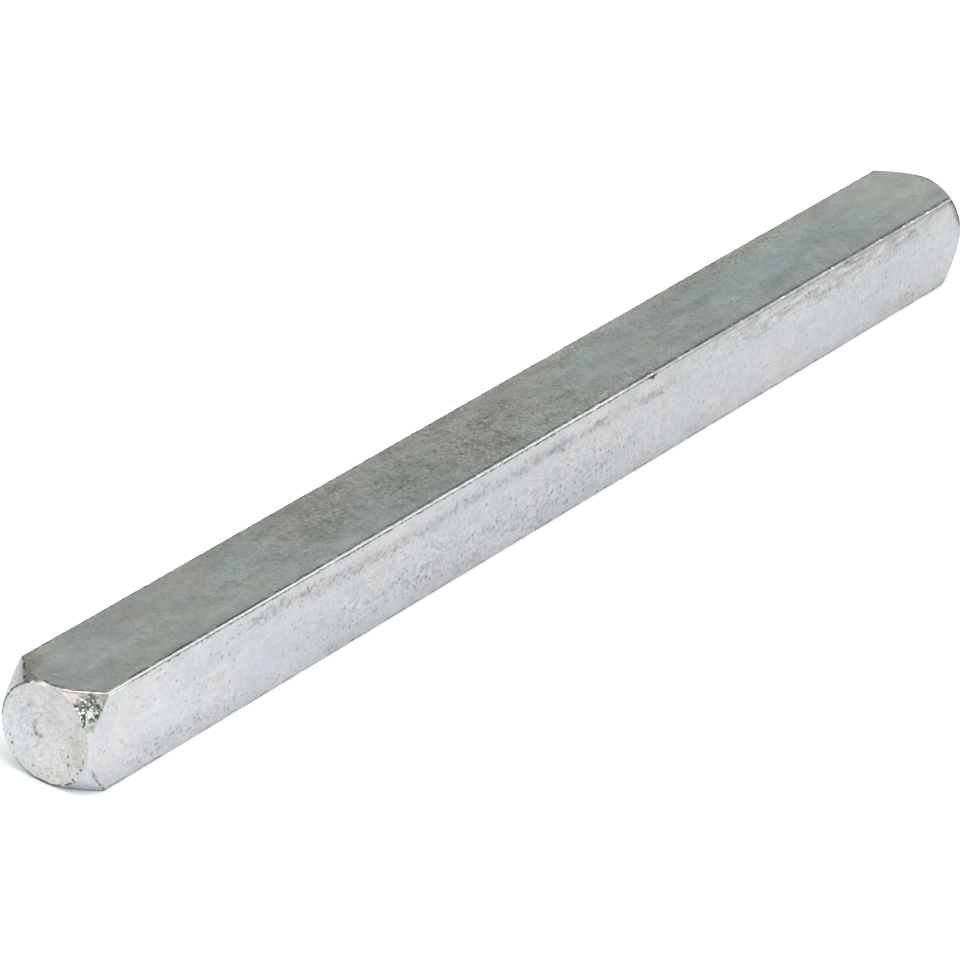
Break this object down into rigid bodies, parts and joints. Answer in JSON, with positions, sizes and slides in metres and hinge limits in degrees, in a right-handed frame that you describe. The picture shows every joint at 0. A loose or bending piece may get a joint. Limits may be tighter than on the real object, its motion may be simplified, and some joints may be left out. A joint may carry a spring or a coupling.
{
  "type": "square drive spindle",
  "caption": "Solid square bar of zinc-plated steel with both ends turned to a conical bevel, used as a drive spindle between square sockets.",
  "frame": {"origin": "middle of the bar, on its axis, halfway between the two end faces", "axes": "+X along the bar, from the near end in the picture to the far end; +Z out of the top flat; -Y out of the long flat that faces the camera"},
  "size_m": [0.115, 0.008, 0.008],
  "materials": {
    "zinc_plated_steel": "zinc electroplate with a clear bluish passivation, satin, mottled and lightly stained, worn bright on the edges"
  },
  "bodies": {
    "root": {"square_spindle": "zinc_plated_steel"}
  },
  "joints": []
}
